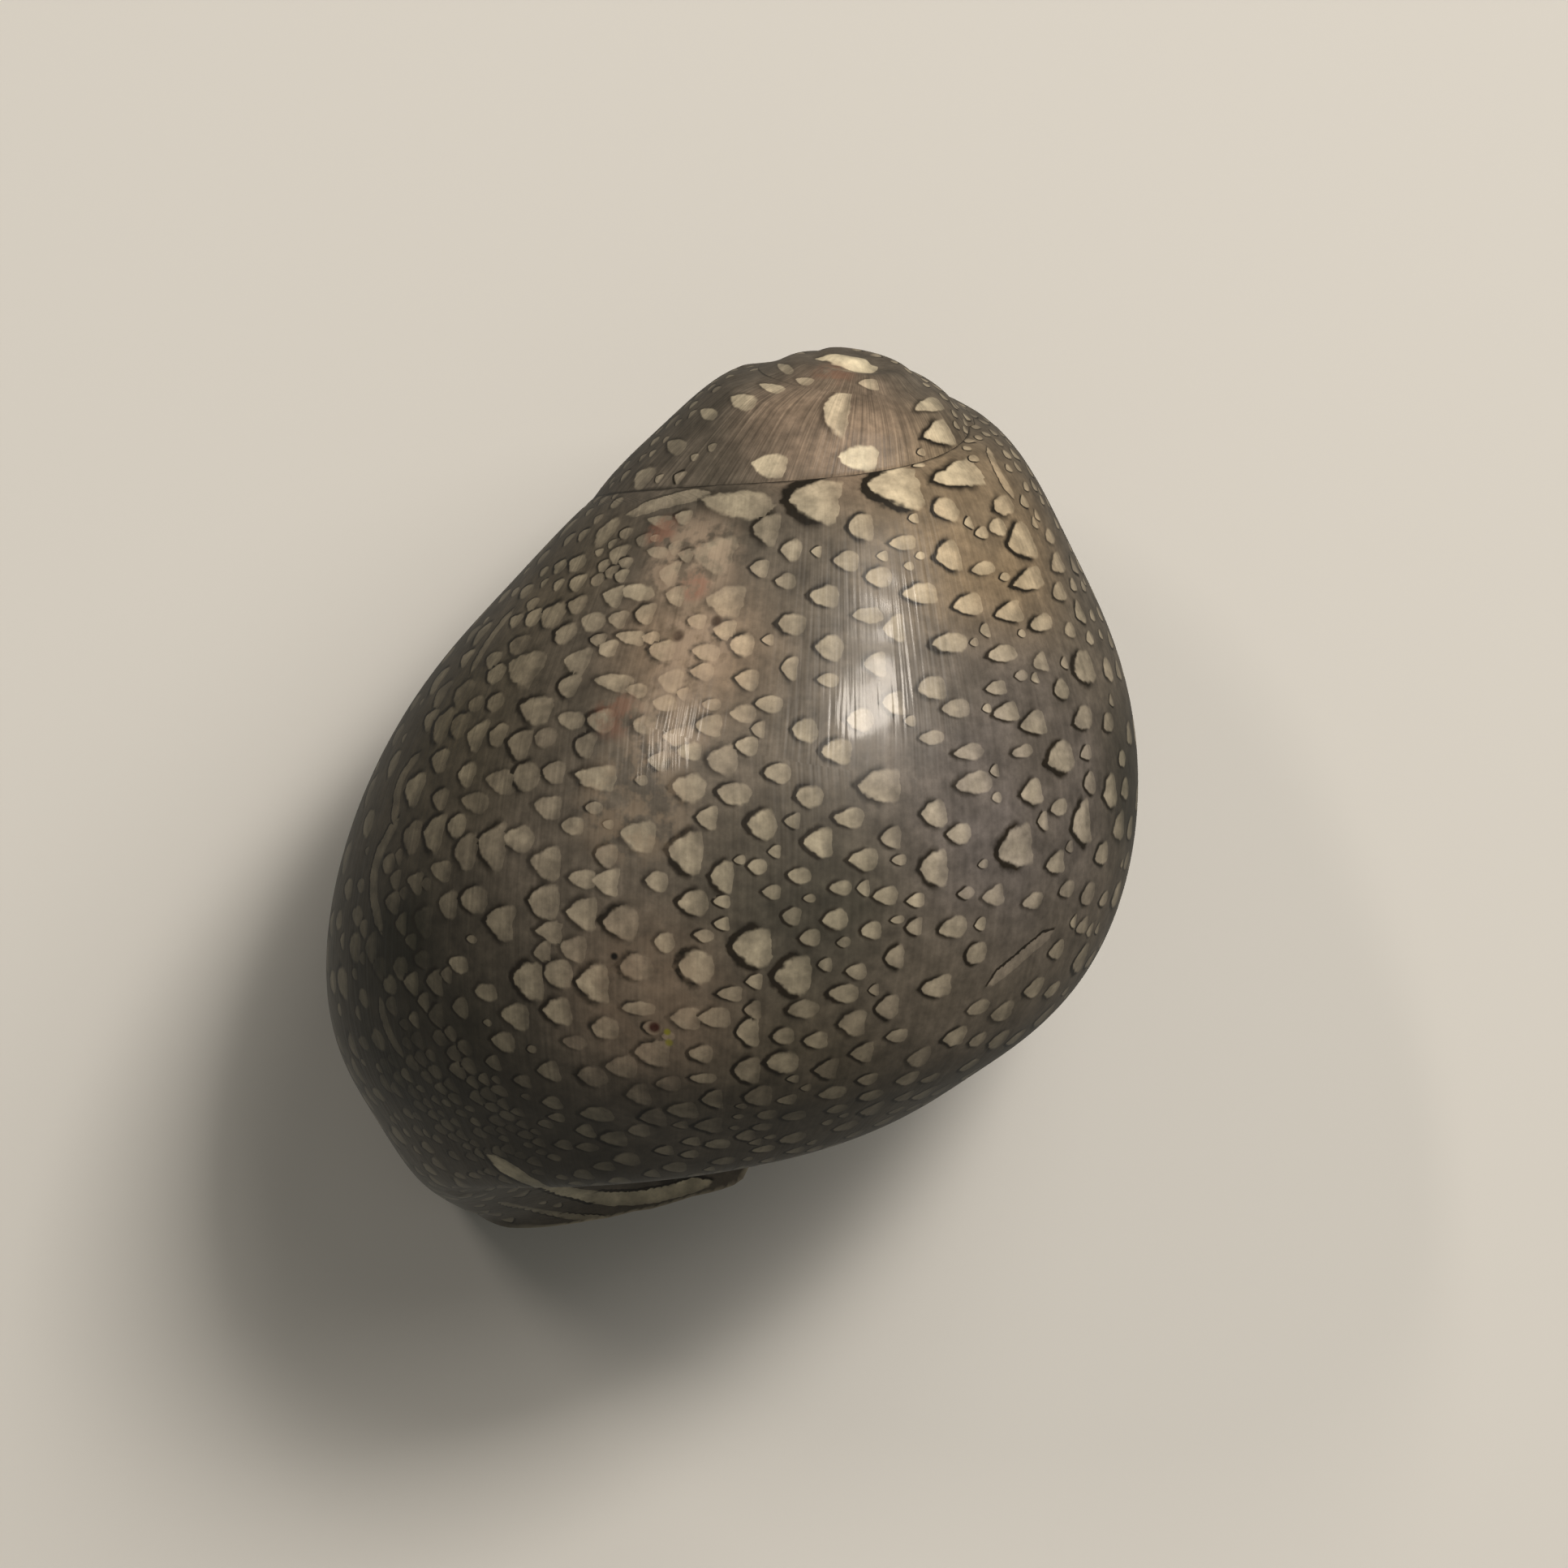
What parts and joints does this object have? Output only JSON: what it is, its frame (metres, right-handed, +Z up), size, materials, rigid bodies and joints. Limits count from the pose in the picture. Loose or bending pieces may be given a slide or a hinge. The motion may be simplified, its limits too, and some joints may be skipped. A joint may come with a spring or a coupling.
{
  "type": "sea snail shell",
  "caption": "Small round spiral sea snail shell with a low spire, lying on the rim of its half-round aperture.",
  "frame": {"origin": "middle of the bounding box in plan, on the surface that the rim of the aperture rests on", "axes": "+Z up from the aperture to the back of the body whorl, +Y towards the apex, -X towards the outer lip"},
  "size_m": [0.0158, 0.0192, 0.0128],
  "materials": {
    "shell": "glossy, grey brown with pale tongue marks edged in dark brown"
  },
  "bodies": {
    "root": {"shell": "shell"}
  },
  "joints": []
}
